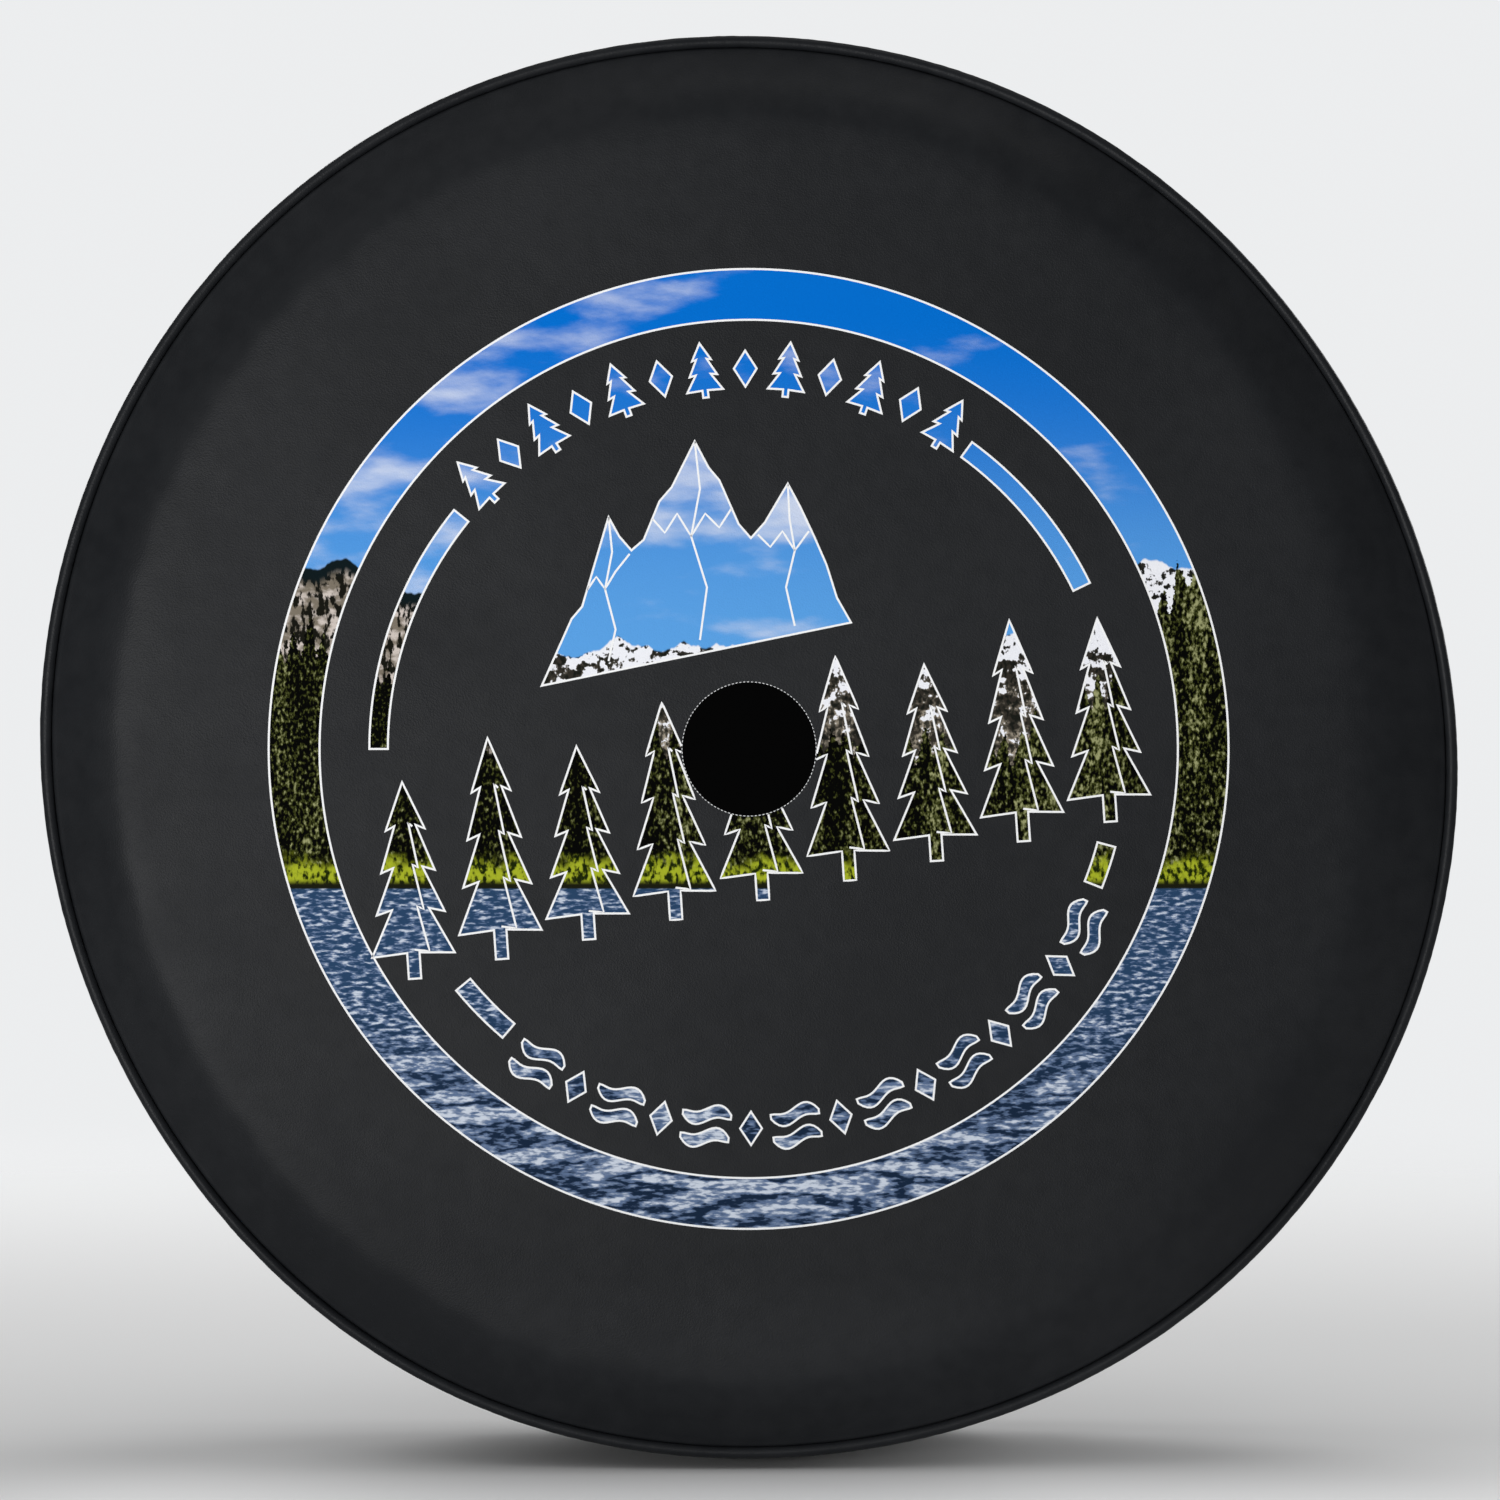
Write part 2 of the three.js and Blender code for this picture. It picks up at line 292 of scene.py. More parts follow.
class Nodes:
    """A material and short ways to add nodes to it. A value may be a number or a socket."""

    def __init__(self, name, roughness=0.6, metallic=0.0, specular=0.5, sheen=0.0):
        self.material = bpy.data.materials.new(name)
        self.material.use_nodes = True
        self.tree = self.material.node_tree
        self.shader = self.tree.nodes["Principled BSDF"]
        self.on_shader("Roughness", roughness)
        self.on_shader("Metallic", metallic)
        self.on_shader("Specular IOR Level", specular)
        self.on_shader("Sheen Weight", sheen)
        self.place = self.add("TexCoord").outputs["Object"]

    def put(self, target, value):
        """Link the value to the input, or set it there. A colour needs no alpha."""
        if isinstance(value, bpy.types.NodeSocket):
            self.tree.links.new(value, target)
        else:
            target.default_value = (*value, 1) if target.type == "RGBA" else value

    def on_shader(self, name, value):
        self.put(self.shader.inputs[name], value)

    def add(self, kind, values=(), **settings):
        node = self.tree.nodes.new("ShaderNode" + kind)
        for key, value in settings.items():
            setattr(node, key, value)
        for key, value in dict(values).items():
            self.put(node.inputs[key], value)
        return node

    def math(self, operation, a, b=0.0):
        return self.add("Math", {0: a, 1: b}, operation=operation).outputs[0]

    def plus(self, *terms):
        total = terms[0]
        for term in terms[1:]:
            total = self.math("ADD", total, term)
        return total

    def times(self, a, b):
        return self.math("MULTIPLY", a, b)

    def square(self, value, unit):
        """value in that unit, squared."""
        return self.math("POWER", self.math("ABSOLUTE", self.math("DIVIDE", value, unit)), 2.0)

    def between(self, value, low, high, start=0.0, end=1.0):
        """start below low, end above high, and a smooth change between."""
        values = {"Value": value, 1: low, 2: high, 3: start, 4: end}
        return self.add("MapRange", values, interpolation_type="SMOOTHSTEP").outputs[0]

    def mix(self, factor, a, b):
        """Colour a where factor is 0 and colour b where it is 1."""
        return self.add("Mix", {0: factor, 6: a, 7: b}, data_type="RGBA").outputs[2]

    def fade(self, value, low, high, a, b):
        """Colour a where value is below low and colour b where it is above high."""
        return self.mix(self.between(value, low, high), a, b)

    def scaled(self, x, y, z):
        return self.add("Mapping", {"Vector": self.place, "Scale": (x, y, z)}).outputs[0]

    def noise(self, scale, detail=2.0, vector=None):
        values = {"Vector": vector or self.place, "Scale": scale, "Detail": detail}
        return self.add("TexNoise", values).outputs["Fac"]

    def cells(self, scale):
        return self.add("TexVoronoi", {"Vector": self.place, "Scale": scale}).outputs["Distance"]

    def weave(self, pitch):
        """Over-and-under threads in the piece's own metres."""
        u, v, _ = self.split(self.add("UVMap", uv_map="cloth").outputs[0])
        turn = 2 * math.pi / pitch
        return self.times(
            self.math("SINE", self.times(u, turn)), self.math("SINE", self.times(v, turn))
        )

    def split(self, vector):
        return self.add("SeparateXYZ", {0: vector}).outputs

    def colour(self, value):
        self.on_shader("Base Color", value)

    def relief(self, *layers):
        """Bumps one on another, each as (height, distance in metres, strength)."""
        normal = None
        for height, distance, strength in layers:
            values = {"Height": height, "Distance": distance, "Strength": strength}
            if normal is not None:
                values["Normal"] = normal
            normal = self.add("Bump", values).outputs[0]
        self.on_shader("Normal", normal)


def vinyl_relief(nodes, soft=0.5):
    """Fine pebbled grain on cloth that is itself a little uneven."""
    pebbles = nodes.plus(nodes.cells(1050.0), nodes.times(nodes.noise(2300.0), 0.6))
    unevenness = nodes.noise(38.0, 3.0)
    nodes.relief((unevenness, 0.5 * MM, soft), (pebbles, 0.16 * MM, 0.55))


def vinyl(name, dark, light, roughness, soft=0.5):
    nodes = Nodes(name, specular=0.115)
    tone = nodes.plus(nodes.times(nodes.noise(6.0, 3.0), 0.6), nodes.times(nodes.noise(85.0), 0.4))
    nodes.colour(nodes.fade(tone, 0.35, 0.65, dark, light))
    patches = nodes.noise(24.0, 4.0)
    nodes.on_shader("Roughness", nodes.between(patches, 0.3, 0.7, roughness - 0.02, roughness + 0.03))
    vinyl_relief(nodes, soft)
    return nodes.material


def lining():
    """Knitted backing on the inside of the cloth."""
    nodes = Nodes("knit_backing", roughness=0.95, specular=0.2, sheen=0.25)
    loops = nodes.weave(1.5 * MM)
    shade = nodes.plus(nodes.times(loops, 0.25), nodes.noise(14.0, 4.0))
    dark, light = (0.042, 0.043, 0.046), (0.062, 0.063, 0.066)
    nodes.colour(nodes.fade(shade, 0.2, 0.8, dark, light))
    nodes.relief((loops, 0.25 * MM, 0.6), (nodes.noise(900.0, 3.0), 0.2 * MM, 0.5))
    return nodes.material


def tape(name, dark, light, pitch):
    nodes = Nodes(name, roughness=0.85, specular=0.3, sheen=0.15)
    threads = nodes.weave(pitch)
    shade = nodes.plus(nodes.times(threads, 0.3), nodes.noise(60.0, 3.0))
    nodes.colour(nodes.fade(shade, 0.2, 0.8, dark, light))
    nodes.relief((threads, 0.18 * MM, 0.7), (nodes.noise(1500.0), 0.1 * MM, 0.5))
    return nodes.material


def thread(name, dark, light):
    nodes = Nodes(name, roughness=0.55, specular=0.4, sheen=0.1)
    fibres = nodes.noise(2600.0, 3.0)
    nodes.colour(nodes.fade(fibres, 0.3, 0.7, dark, light))
    nodes.relief((fibres, 0.08 * MM, 0.6))
    return nodes.material


def crimped_metal():
    nodes = Nodes("crimped_aluminium", metallic=1.0)
    scuffs = nodes.noise(400.0, 4.0, nodes.scaled(1, 6, 6))
    nodes.colour(nodes.fade(scuffs, 0.3, 0.7, (0.52, 0.52, 0.53), (0.72, 0.72, 0.73)))
    nodes.on_shader("Roughness", nodes.between(scuffs, 0.3, 0.7, 0.28, 0.45))
    nodes.relief((scuffs, 0.05 * MM, 0.4))
    return nodes.material


def print_white():
    nodes = Nodes("print_white", roughness=0.7, specular=0.03)
    nodes.colour(nodes.mix(nodes.noise(500.0), (0.90, 0.91, 0.92), (0.97, 0.97, 0.97)))
    vinyl_relief(nodes, 0.2)
    return nodes.material


def printed_sky(nodes, x, z):
    """Sky, deeper blue upwards, with thin clouds that gather to the left."""
    sky = nodes.fade(z, 0.05, 0.25, (0.105, 0.36, 0.78), (0.0, 0.148, 0.61))
    sky = nodes.fade(z, 0.12, 0.20, sky, nodes.mix(0.35, sky, (0.0, 0.17, 0.66)))
    tilted = {"Vector": nodes.place, "Rotation": (0, 0.6, 0), "Scale": (1.0, 1.0, 3.0)}
    drift = nodes.noise(13.0, 9.0, nodes.add("Mapping", tilted).outputs[0])
    middle = nodes.plus(nodes.square(nodes.plus(x, 0.02), 0.13), nodes.square(nodes.plus(z, -0.15), 0.045))
    puffs = nodes.plus(
        drift, nodes.between(x, -0.26, 0.10, 0.06, -0.06), nodes.between(middle, 0.2, 1.0, 0.22, 0.0)
    )
    return nodes.mix(nodes.between(puffs, 0.50, 0.80, 0.0, 0.9), sky, (0.66, 0.72, 0.86))


def printed_hills(nodes, x, z, ridge):
    """Hills: rock and snow in the middle and right, a sparsely wooded slope on the left."""
    crags = nodes.noise(120.0, 8.0, nodes.scaled(1, 1, 1.6))
    gullies = nodes.noise(430.0, 5.0, nodes.scaled(1, 1, 0.6))
    rock = nodes.fade(crags, 0.42, 0.60, (0.030, 0.026, 0.020), (0.36, 0.31, 0.24))
    rock = nodes.mix(nodes.between(gullies, 0.44, 0.54, 0.85, 0.0), rock, (0.006, 0.008, 0.006))
    snow_line = nodes.plus(
        nodes.times(crags, 0.7), nodes.times(gullies, 0.3), nodes.between(z, -0.02, 0.09, -0.09, 0.09)
    )
    rock = nodes.fade(snow_line, 0.515, 0.545, rock, (0.88, 0.89, 0.94))

    trunks = nodes.noise(330.0, 3.0, nodes.scaled(1, 1, 0.45))
    earth = nodes.fade(crags, 0.40, 0.62, (0.20, 0.17, 0.13), (0.62, 0.55, 0.50))
    slope = nodes.fade(trunks, 0.47, 0.55, earth, (0.008, 0.008, 0.005))
    hills = nodes.fade(x, -0.17, -0.10, slope, rock)
    below = nodes.math("SUBTRACT", ridge, z)
    treeline = nodes.times(
        nodes.between(below, 0.005, 0.012, 1.0, 0.0), nodes.between(x, -0.17, -0.16, 1.0, 0.0)
    )
    return nodes.mix(treeline, hills, (0.004, 0.010, 0.012))


def printed_wood(nodes, x):
    """Conifer wood: black depths and olive needles that catch the light in upright strips."""
    needles = nodes.noise(540.0, 4.0, nodes.scaled(1, 1, 0.62))
    strips = nodes.noise(75.0, 2.0, nodes.scaled(1, 1, 0.10))
    lit = nodes.plus(
        nodes.times(needles, 0.9), nodes.times(strips, 0.35), nodes.between(x, -0.26, 0.26, -0.03, 0.04)
    )
    wood = nodes.fade(lit, 0.610, 0.695, (0.0006, 0.0007, 0.0003), (0.040, 0.046, 0.008))
    return nodes.fade(lit, 0.685, 0.85, wood, (0.33, 0.34, 0.16))


def printed_water(nodes, z):
    """Rippled water: small bright ripples far out, broad dark-edged wavelets close by."""
    far = nodes.noise(430.0, 4.0, nodes.scaled(0.36, 1, 1.2))
    close = nodes.noise(52.0, 8.0, nodes.scaled(0.36, 1, 1.5))
    crests = nodes.math("PINGPONG", nodes.times(close, 4.0), 0.5)
    near = nodes.between(z, -0.21, -0.12, 1.0, 0.0)
    ripples = nodes.plus(
        nodes.times(near, nodes.times(crests, 1.4)),
        nodes.times(nodes.between(near, 0.0, 1.0, 0.86, 0.42), nodes.between(far, 0.37, 0.67)),
    )
    body = nodes.mix(near, (0.022, 0.058, 0.130), (0.009, 0.022, 0.052))
    water = nodes.fade(ripples, 0.22, 0.55, body, (0.12, 0.18, 0.31))
    return nodes.fade(ripples, 0.55, 0.95, water, (0.62, 0.68, 0.78))


def print_landscape():
    """A made-up lake, wooded shore, hills and sky, laid out by height on the face."""
    nodes = Nodes("print_landscape", roughness=0.7, specular=0.03)
    x, _, z = nodes.split(nodes.place)
    side = nodes.math("ABSOLUTE", x)
    ridge = nodes.plus(
        nodes.times(nodes.noise(16.0, 5.0, nodes.scaled(1, 0, 0)), 0.075),
        nodes.between(side, 0.10, 0.24, 0.022, 0.066),
    )
    above_ridge = nodes.between(nodes.math("SUBTRACT", z, ridge), -0.0015, 0.0)
    picture = nodes.mix(above_ridge, printed_hills(nodes, x, z, ridge), printed_sky(nodes, x, z))

    # Conifers with narrow tops of uneven height.
    spires = nodes.math("PINGPONG", nodes.plus(x, nodes.times(nodes.noise(60.0), 0.006)), 0.0045)
    stands = nodes.noise(70.0, 2.0, nodes.scaled(1, 0, 0))
    tops = nodes.plus(
        nodes.times(spires, 4.0),
        nodes.times(nodes.noise(500.0), 0.016),
        nodes.times(stands, 0.055),
        nodes.between(side, 0.14, 0.26, -0.040, 0.016),
        nodes.between(x, 0.20, 0.25, 0.0, 0.040),
    )
    under_tops = nodes.between(nodes.math("SUBTRACT", tops, z), 0.0, 0.001)
    picture = nodes.mix(under_tops, picture, printed_wood(nodes, x))

    # Grassy shore, its dark edge and the lake.
    blades = nodes.noise(420.0, 5.0, nodes.scaled(1, 1, 0.6))
    grass = nodes.fade(blades, 0.40, 0.58, (0.010, 0.018, 0.001), (0.38, 0.44, 0.022))
    bank = nodes.plus(z, nodes.times(nodes.noise(90.0), 0.018))
    picture = nodes.fade(bank, -0.060, -0.050, grass, picture)
    picture = nodes.fade(z, -0.0775, -0.0735, (0.010, 0.011, 0.004), picture)
    picture = nodes.fade(z, -0.0800, -0.0790, printed_water(nodes, z), picture)
    nodes.colour(picture)
    vinyl_relief(nodes, 0.3)
    return nodes.material


FACE_VINYL = vinyl("face_vinyl", (0.0102, 0.0112, 0.0129), (0.0142, 0.0153, 0.0172), 0.46)
BAND_VINYL = vinyl("band_vinyl", (0.0094, 0.0102, 0.0117), (0.0130, 0.0140, 0.0160), 0.46, 0.8)
WELT_VINYL = vinyl("welt_vinyl", (0.0102, 0.0112, 0.0129), (0.0142, 0.0153, 0.0172), 0.40)
LINING = lining()
BINDING = tape("binding_tape", (0.0070, 0.0070, 0.0080), (0.0200, 0.0200, 0.0215), 1.1 * MM)
HEM_TAPE = tape("hem_casing", (0.0080, 0.0080, 0.0090), (0.0230, 0.0230, 0.0250), 0.9 * MM)
COTTON = tape("cotton_core", (0.45, 0.41, 0.33), (0.66, 0.61, 0.50), 2.0 * MM)
ELASTIC_BRAID = tape("elastic_braid", (0.0090, 0.0090, 0.0100), (0.0300, 0.0300, 0.0330), 1.3 * MM)
LABEL_CLOTH = tape("label_cloth", (0.60, 0.59, 0.56), (0.74, 0.73, 0.70), 0.6 * MM)
BLACK_THREAD = thread("black_thread", (0.0060, 0.0060, 0.0070), (0.0300, 0.0300, 0.0320))
GREY_THREAD = thread("grey_thread", (0.62, 0.63, 0.64), (0.84, 0.845, 0.85))
METAL = crimped_metal()
PRINT_WHITE = print_white()
PRINT_LANDSCAPE = print_landscape()


# ---------------- stitches

STITCH_RINGS, STITCH_SIDES = 7, 6
STITCH_LIFT = 0.12 * MM  # how far the middle of a row of stitches lies above the cloth


def stitches(name, line, up, length, gap, width, material, closed=True):
    """Separate stitches along a line, each a two-ply arch that dips in at both ends."""
    path, up = (np.vstack([a, a[:1]]) if closed else a for a in (line, up))
    far = run_along(path)
    count = max(2, int(far[-1] / (length + gap)))
    pitch = far[-1] / count
    middle = (np.arange(count) + 0.5) * pitch

    def along(values, where):
        return np.stack([np.interp(where, far, values[:, k]) for k in range(3)], -1)

    centre = along(path, middle)
    tangent = unit(along(path, middle + pitch * 0.2) - along(path, middle - pitch * 0.2))
    normal = along(up, middle)
    normal = unit(normal - tangent * np.sum(normal * tangent, axis=1, keepdims=True))
    side = np.cross(tangent, normal)

    t = np.linspace(-1, 1, STITCH_RINGS)
    angle = round_angles(STITCH_SIDES)
    thick = np.sqrt(1.02 - t**4)[:, None] * (1 + 0.10 * np.cos(2 * angle[None, :] + 4 * t[:, None]))
    local = np.stack(
        [
            np.broadcast_to(t[:, None] * (pitch - gap) / 2, thick.shape),
            thick * np.cos(angle) * width / 2,
            thick * np.sin(angle) * width * 0.4 + (0.35 - 0.75 * t[:, None] ** 4) * width * 0.5,
        ],
        -1,
    ).reshape(-1, 3)
    axes = np.stack([tangent, side, normal], 1)
    points = (centre[:, None, :] + local @ axes).reshape(-1, 3)

    rows, turn = np.meshgrid(np.arange(STITCH_RINGS - 1), np.arange(STITCH_SIDES), indexing="ij")
    a = (rows * STITCH_SIDES + turn).ravel()
    b = (rows * STITCH_SIDES + (turn + 1) % STITCH_SIDES).ravel()
    tube = np.stack([a, b, b + STITCH_SIDES, a + STITCH_SIDES], -1)
    first = np.arange(STITCH_SIDES)
    last = first + (STITCH_RINGS - 1) * STITCH_SIDES
    faces = []
    for k in range(count):
        base = k * STITCH_RINGS * STITCH_SIDES
        faces += (tube + base).tolist() + [(first[::-1] + base).tolist(), (last + base).tolist()]
    return build(name, points, faces, [material], sharp=None)


# ---------------- front face and its opening

def face_waves(x, z):
    """How far the flat of the face stands out from its plane: the cloth is not quite even."""
    swell = np.sin(9.1 * x + 5.3 * z + 0.4) + np.sin(-6.7 * x + 11.9 * z + 1.9)
    swell += 0.6 * np.sin(19.0 * x - 8.0 * z + 2.2) + 0.5 * np.sin(7.0 * x + 23.0 * z)
    return 0.16 * MM * swell


def lay_on_face(flat, lift):
    """Flat (x, z) points on the front of the cloth, that far out from it."""
    x, z = flat[:, 0], flat[:, 1]
    return np.stack([x, FACE_Y - face_waves(x, z) - lift, z], -1)


def face_middle(phi):
    """The face cloth's middle: flat, rolled back to a cone, then turned in behind the welt."""
    flat = FACE_Y + VINYL / 2
    points = [
        (OPENING, flat), (0.060, flat), (0.240, flat), (0.320, flat), (0.340, flat),
        (0.351, flat + 0.25 * MM), (0.362, flat + 1.5 * MM), (0.3725, flat + 5.6 * MM),
        (0.3865, flat + 14.4 * MM), (0.3970, flat + 20.8 * MM), tuple(seam_point(2.7, 3.05)),
        tuple(seam_point(4.3, 2.1)), tuple(seam_point(6.5, 1.8)), tuple(seam_point(13.5, 1.8)),
    ]
    line = spline(points, [4, 19, 9, 4, 4, 5, 5, 7, 6, 4, 3, 3, 3])
    grid = by_angle(line, phi)
    radius = line[None, :, 0]
    # The slope starts nearer the middle on the right.
    early = 7 * MM * np.exp((np.cos(phi) - 1) * 6)[:, None] * smooth(0.3960, 0.350, radius)
    sloping = line[: np.argmax(line[:, 0] > 0.3969)]  # up to where the line turns in
    slope = np.interp(radius + early, sloping[:, 0], sloping[:, 1])
    grid[:, : len(sloping), 1] = slope[:, : len(sloping)]
    x, z = radius * np.cos(phi)[:, None], radius * np.sin(phi)[:, None]
    grid[..., 1] -= face_waves(x, z) * smooth(0.395, 0.33, radius)
    cone = smooth(0.350, 0.378, radius) * smooth(0.4025, 0.392, radius)
    folds = wave(phi, 46, 18, 11)[:, None] * 0.45 + wave(phi, 17, 6, 12)[:, None] * 0.7
    grid[..., 1] -= folds * cone * 0.9 * MM
    puckers = wave(phi, 150, 40, 13)[:, None] * smooth(0.384, 0.397, radius)
    grid[..., 1] -= puckers * smooth(0.4015, 0.398, radius) * 0.28 * MM
    return turned(grid, phi)


def face_panel():
    middle = face_middle(round_angles(640))
    piece = cloth("face_panel_skin", middle, VINYL, [FACE_VINYL, LINING])
    stand_in("face_panel")


def opening_facing():
    """Ring of the same cloth behind the camera opening."""
    phi = round_angles(160)
    radius = np.linspace(OPENING + 0.3 * MM, FACING, 9)
    y = ring_centre("camera_opening_facing")[1]
    grid = by_angle(np.stack([radius, np.full(9, y)], -1), phi)
    edge = smooth(FACING - 8 * MM, FACING, radius)[None, :]
    grid[..., 1] += (0.2 + 0.35 * wave(phi, 9, 4, 21)[:, None] ** 2) * edge * MM
    piece = cloth("camera_opening_facing_skin", turned(grid, phi), 0.9 * MM, [LINING])
    stand_in("camera_opening_facing")


def opening_stitches():
    """A fine pale row of stitches right at the opening's edge."""
    on_cloth = lay_on_face(circle(OPENING + 0.2 * MM, 240), STITCH_LIFT)
    up = np.broadcast_to([0.0, -1.0, 0.0], on_cloth.shape)
    row = stitches("camera_opening_stitches", on_cloth, up, 1.5 * MM, 0.7 * MM, 0.5 * MM, GREY_THREAD)
    stand_in("camera_opening_thread")


# ---------------- piped rim

def wrapped(centre, radius, half, away, edges):
    """A skin round a centre, closed by two edges that lie side by side, as a (radius, y) line."""
    gap = math.degrees(math.asin(half / radius))
    return np.vstack([edges[0], arc(centre, radius, away + gap, away + 360 - gap, 16), edges[1]])


def welt():
    """The rim's piping: a sleeve of vinyl folded round a cord, with its edges in the seam."""
    phi = round_angles(900)
    skin = 0.8 * MM
    half = 0.55 * MM
    radius = WELT_RADIUS - skin / 2 - 0.1 * MM
    edges = [seam_point(13, 0.55)[None], seam_point(13, -0.55)[None]]
    grid = by_angle(wrapped(WELT, radius, half, 135, edges), phi)
    away = grid - WELT
    round_part = np.linalg.norm(away, axis=2, keepdims=True) < radius * 1.05
    pucker = wave(phi, 300, 70, 31) * 0.055 + wave(phi, 90, 30, 32) * 0.05
    grid += away / radius * (pucker[:, None, None] * MM) * round_part
    sleeve = cloth("welt_sleeve_skin", turned(grid, phi), skin, [WELT_VINYL])
    stand_in("welt_sleeve")
    core = solid_of_grid("welt_core", tube_round(WELT, CORE_RADIUS, round_angles(480), 10), [COTTON])
    stand_in("welt_cord")


def seam_binding():
    """Tape over the seam's cut edges, inside the cover, and the stitches that hold it."""
    phi = round_angles(480)
    side = 2.9
    half = [(8.5, side), (11, side), (13.8, side), (15.6, side * 0.8), (16.3, side * 0.3)]
    mirrored = [(far, -across) for far, across in reversed(half)]
    grid = by_angle(np.array([seam_point(*point) for point in half + mirrored]), phi)
    grid += (SEAM_SIDE * 0.15 * MM) * wave(phi, 60, 20, 41)[:, None, None]
    tape_piece = cloth("face_seam_tape", turned(grid, phi), 0.5 * MM, [BINDING])
    stand_in("face_seam_binding")

    on_tape = turned(seam_point(11.5, side + 0.35)[None, :], phi)[:, 0]
    up = turned(seam_point(11.5, side + 5)[None, :], phi)[:, 0] - on_tape
    row = stitches("face_seam_stitches", on_tape, up, 4.2 * MM, 0.9 * MM, 0.75 * MM, BLACK_THREAD)
    stand_in("face_seam_thread")


# ---------------- tread bands and rear hem

HEM_Y = ELASTIC[1]
SHOULDER = np.array([BAND - 38.5 * MM, 90 * MM])
JOIN_GAP = 0.15 * MM  # from the middle of a side join to each band's edge
JOIN_STITCH = 5 * MM  # from a side join to each of its rows of stitches
CASING_SKIN = 0.7 * MM
CASING_HALF = 1.2 * MM  # from the band's middle to each edge of the casing

# The band's gathers, as waves round the tyre.
BROAD = dict(crests=34, spread=11, seed=56)
COARSE = dict(crests=66, spread=18, seed=51)
FINE = dict(crests=135, spread=34, seed=52)


def band_line():
    """The band cloth's middle as a (radius, y) line, from the rim seam to the rear hem."""
    tread = BAND - VINYL / 2
    curve = arc(SHOULDER, tread - SHOULDER[0], 0, 75, 5)
    points = [
        seam_point(13.5, -1.8), seam_point(6.5, -1.8), seam_point(5.0, -2.1),
        (tread - 0.1 * MM, WELT[1] + 7 * MM), (tread + 0.5 * MM, -0.080), (tread + 1.3 * MM, -0.040),
        (tread + 1.6 * MM, 0.0), (tread + 1.2 * MM, 0.045), *curve,
        (0.360, HEM_Y - 2.2 * MM), (0.348, HEM_Y - 0.7 * MM), (0.338, HEM_Y), (0.3215, HEM_Y),
    ]
    return spline(points, [3, 2, 3, 5, 6, 6, 6, 6, 3, 4, 4, 4, 4, 4, 4, 4, 5])


def hem_shift(phi):
    """How far the gathered hem stands rearwards of its plane, by angle."""
    return (1.1 * wave(phi, **COARSE) + 0.6 * wave(phi, **FINE)) * MM


def pleats(phi, waves):
    """A wave whose crests are full and whose valleys are drawn in to creases."""
    height = wave(phi, **waves)
    return height - 0.30 * height ** 2 + 0.12


def folds(phi, line):
    """How far the band's gathers stand out, by angle and by place along the line.

    Broad folds start on the tread. They split into narrower ones on the way to the hem, and lean
    a little to either side.
    """
    radius, y = line[:, 0], line[:, 1]
    rear = smooth(0.075, 0.112, y)
    shown = smooth(0.398, 0.401, radius)
    slack = np.sqrt(np.clip(BAND / radius - 1, 0, 1)) * rear
    inwards = smooth(0.400, 0.330, radius)
    lean = phi[:, None] + 0.030 * wave(phi, 11, 4, 57)[:, None] * smooth(0.345, 0.405, radius)
    broad = pleats(lean, BROAD) * (3.4 * smooth(0.035, 0.125, y) * smooth(0.330, 0.372, radius))
    coarse = pleats(lean, COARSE) * slack * 8.5 * smooth(0.326, 0.350, radius)
    fine = wave(phi, **FINE)[:, None] * slack * 4.0 * smooth(0.326, 0.338, radius) * inwards
    hem = hem_shift(phi)[:, None] / MM * smooth(0.352, 0.338, radius) * rear
    tread = wave(phi, 23, 9, 53)[:, None] * 0.35 * shown
    tread *= smooth(-0.095, -0.05, y) * smooth(0.11, 0.05, y)
    tucks = wave(phi, 120, 40, 54)[:, None] * 0.30 * shown
    tucks *= smooth(-0.070, -0.094, y) * smooth(-0.1005, -0.098, y)
    return (broad + coarse + fine + hem + tread + tucks) * MM


def band_middle(phi, line):
    """The band's middle with its folds, as (radius, y) by angle, and which way is out."""
    out = -left_of(np.gradient(line, axis=0))
    return line[None] + out[None] * folds(phi, line)[..., None], out


def tread_band(name, start):
    """Half of the band. At each side join its edge turns in and its stitch row sits in a dip."""
    phi = np.linspace(start, start + math.pi, 361)
    edge = JOIN_GAP / BAND
    phi = start + edge + (phi - start) * (1 - 2 * edge / math.pi)
    phi[1], phi[-2] = phi[0] + 1.2 * MM / BAND, phi[-1] - 1.2 * MM / BAND
    phi[2], phi[-3] = phi[0] + 3.2 * MM / BAND, phi[-1] - 3.2 * MM / BAND
    line = band_line()
    grid, out = band_middle(phi, line)
    from_join = np.minimum(phi - phi[0], phi[-1] - phi) * BAND
    turn_in = 1.1 * MM * smooth(3.0 * MM, 0.0, from_join) - 0.5 * MM * smooth(12 * MM, 7 * MM, from_join)
    before_hem = smooth(0.3380, 0.3420, line[:, 0])
    grid = grid - out[None] * turn_in[:, None, None] * before_hem[None, :, None]
    piece = cloth(name + "_skin", turned(grid, phi), VINYL, [BAND_VINYL, LINING], False)
    stand_in(name)


